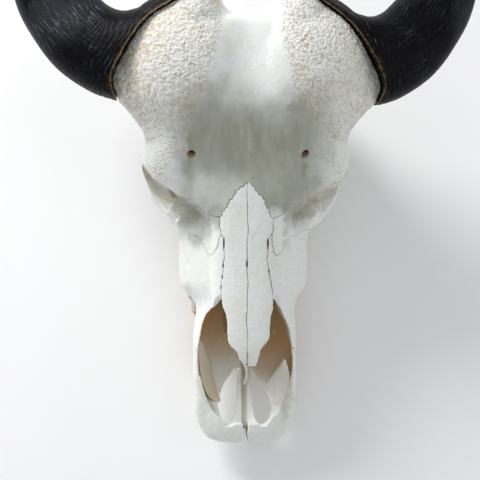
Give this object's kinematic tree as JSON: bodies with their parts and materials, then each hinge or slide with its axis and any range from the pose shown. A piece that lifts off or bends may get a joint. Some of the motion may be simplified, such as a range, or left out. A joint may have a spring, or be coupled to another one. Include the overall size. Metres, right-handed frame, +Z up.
{
  "type": "cape buffalo skull",
  "caption": "Life-size cape buffalo skull with horn sheaths and cheek teeth, no lower jaw, lying face up on its tooth rows and nape.",
  "frame": {"origin": "middle of the footprint's box, on the floor", "axes": "+Z up, +Y from the nose to the crest and horn tips, +X to the animal's left"},
  "size_m": [0.5552, 0.7024, 0.3061],
  "materials": {
    "cranium": "dry weathered bone",
    "frontal_left": "dry weathered bone",
    "frontal_right": "dry weathered bone",
    "nasal_left": "dry weathered bone",
    "nasal_right": "dry weathered bone",
    "lacrimal_left": "dry weathered bone",
    "lacrimal_right": "dry weathered bone",
    "zygomatic_left": "dry weathered bone",
    "zygomatic_right": "dry weathered bone",
    "premaxilla_left": "dry weathered bone",
    "premaxilla_right": "dry weathered bone",
    "maxilla_left": "dry weathered bone",
    "maxilla_right": "dry weathered bone",
    "horn_left": "dark horn, scuffed satin",
    "horn_right": "dark horn, scuffed satin"
  },
  "bodies": {
    "root": {"cranium": "cranium", "frontal_left": "frontal_left", "frontal_right": "frontal_right", "nasal_left": "nasal_left", "nasal_right": "nasal_right", "lacrimal_left": "lacrimal_left", "lacrimal_right": "lacrimal_right", "zygomatic_left": "zygomatic_left", "zygomatic_right": "zygomatic_right", "premaxilla_left": "premaxilla_left", "premaxilla_right": "premaxilla_right", "maxilla_left": "maxilla_left", "maxilla_right": "maxilla_right", "horn_left": "horn_left", "horn_right": "horn_right"}
  },
  "joints": []
}
